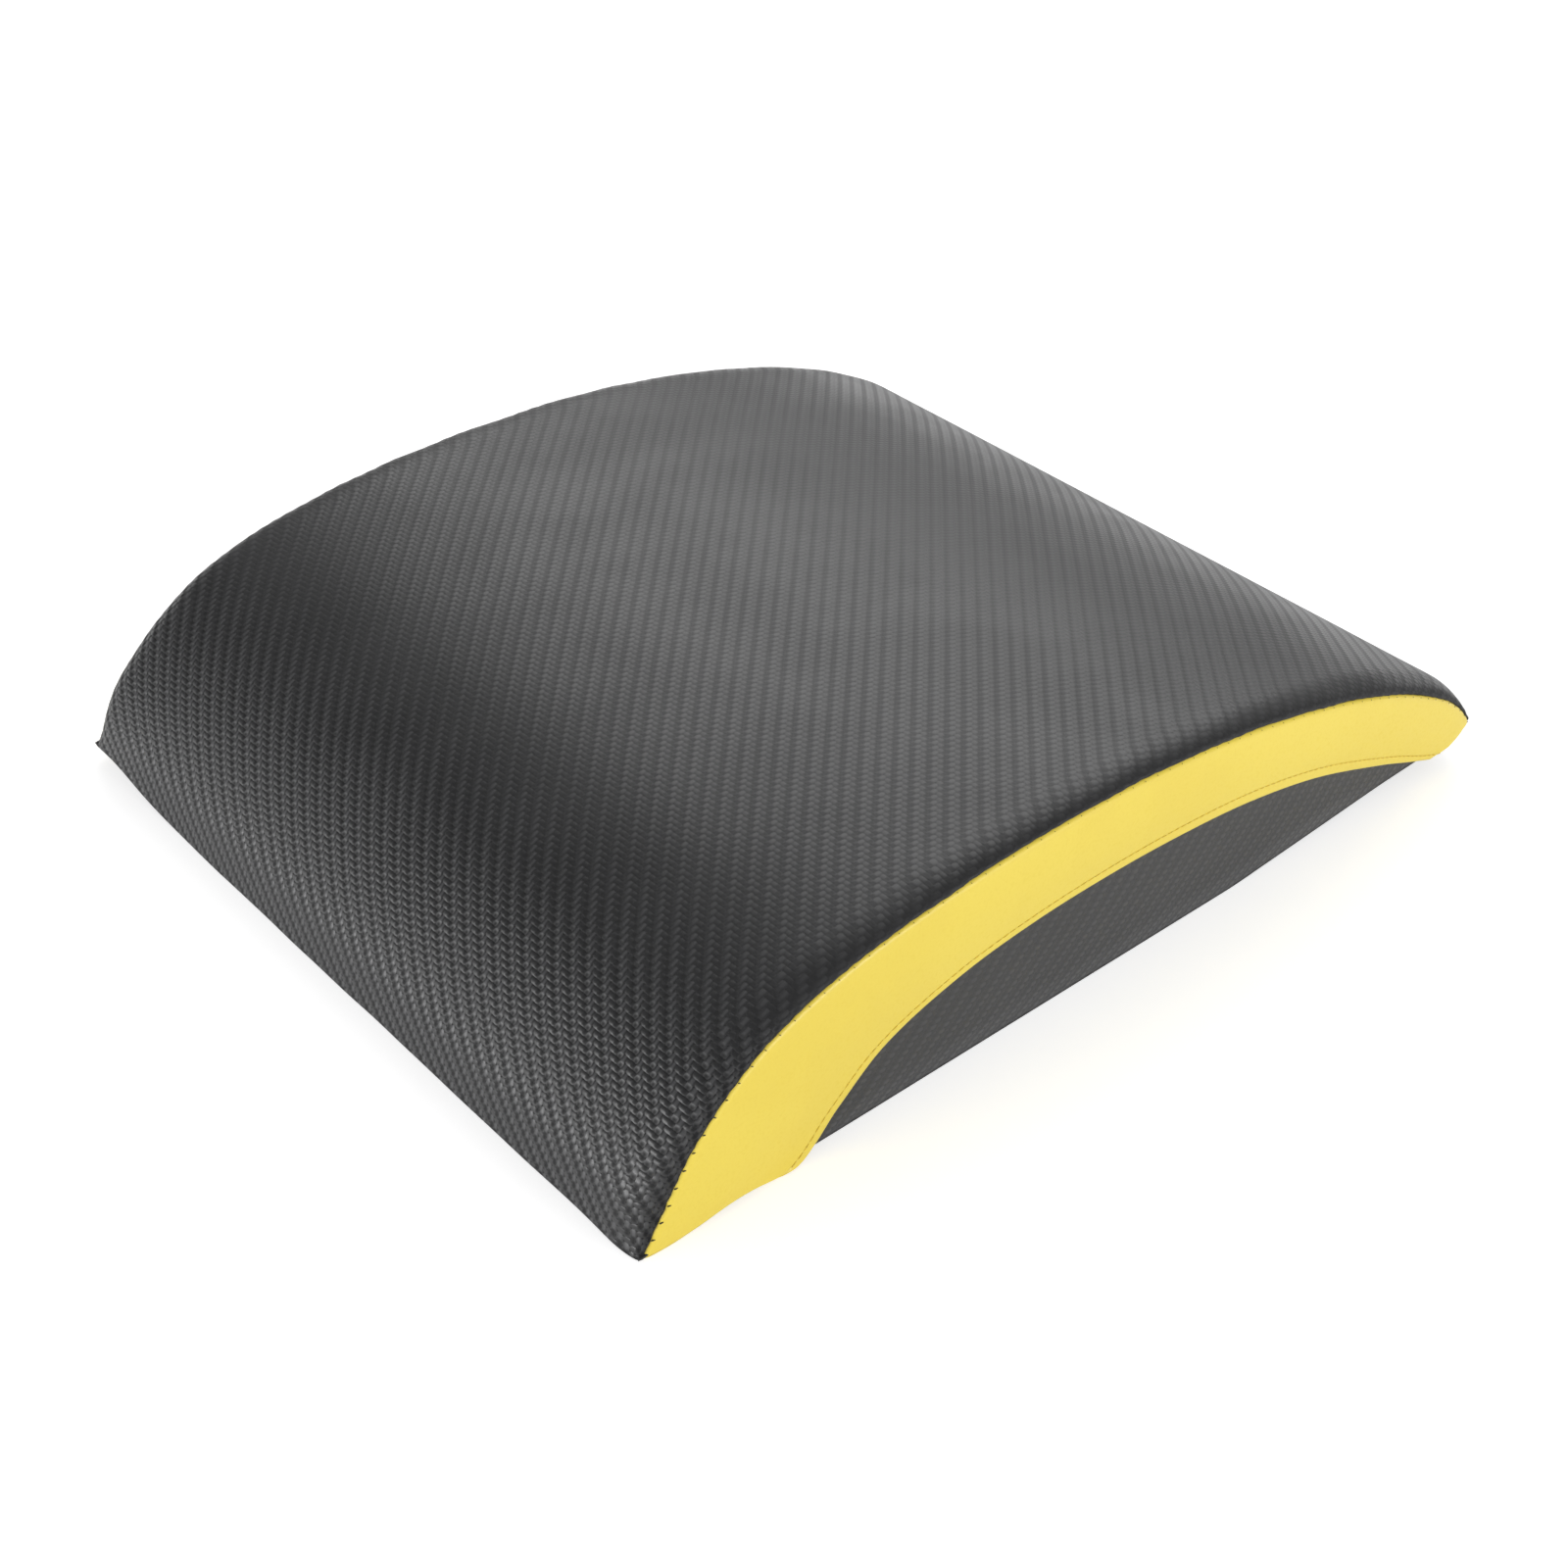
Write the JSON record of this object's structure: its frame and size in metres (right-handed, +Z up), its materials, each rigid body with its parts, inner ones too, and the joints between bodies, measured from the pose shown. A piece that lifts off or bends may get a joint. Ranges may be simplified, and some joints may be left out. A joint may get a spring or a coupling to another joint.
{
  "type": "ab mat",
  "caption": "Arched exercise mat for sit-ups: a foam core in a sewn vinyl cover with bands along its sides and a zip across its base, whose slider and pull tab move.",
  "frame": {"origin": "on the floor, at the middle of the footprint", "axes": "+X from the steep front to the thin rear end, +Y across the width, +Z up"},
  "size_m": [0.381, 0.302, 0.0774],
  "materials": {
    "carbon_vinyl": "black vinyl embossed with a diagonal twill, satin",
    "yellow_vinyl": "smooth yellow vinyl, satin",
    "base_vinyl": "black vinyl, matte",
    "foam": "moulded foam, matte",
    "zip_tape": "woven tape, matte",
    "zip_plastic": "moulded plastic, satin",
    "zip_metal": "black enamel, satin"
  },
  "bodies": {
    "root": {"base_panel_front": "base_vinyl", "base_panel_rear": "base_vinyl", "foam_core": "foam", "side_band_left": "yellow_vinyl", "side_band_right": "yellow_vinyl", "side_panel_left": "carbon_vinyl", "side_panel_right": "carbon_vinyl", "top_panel": "carbon_vinyl", "zip_bottom_stop": "zip_metal", "zip_end_tab_left": "zip_tape", "zip_end_tab_right": "zip_tape", "zip_tape_front": "zip_tape", "zip_tape_rear": "zip_tape", "zip_teeth_front": "zip_plastic", "zip_teeth_rear": "zip_plastic", "zip_top_stop_front": "zip_plastic", "zip_top_stop_rear": "zip_plastic"},
    "slider": {"zip_slider": "zip_metal"},
    "pull": {"zip_pull_tab": "zip_metal"}
  },
  "joints": [
    {"name": "zip_slide", "type": "slide", "parent": "root", "child": "slider", "axis": [0, -1, 0], "range_m": [0, 0.2087], "deforming": ["zip_teeth_front", "zip_teeth_rear"]},
    {"name": "pull_tab_hinge", "type": "hinge", "parent": "slider", "child": "pull", "pos_m": [0, 0.1094, 0.0026], "axis": [1, 0, 0], "range_deg": [0, 170]}
  ]
}
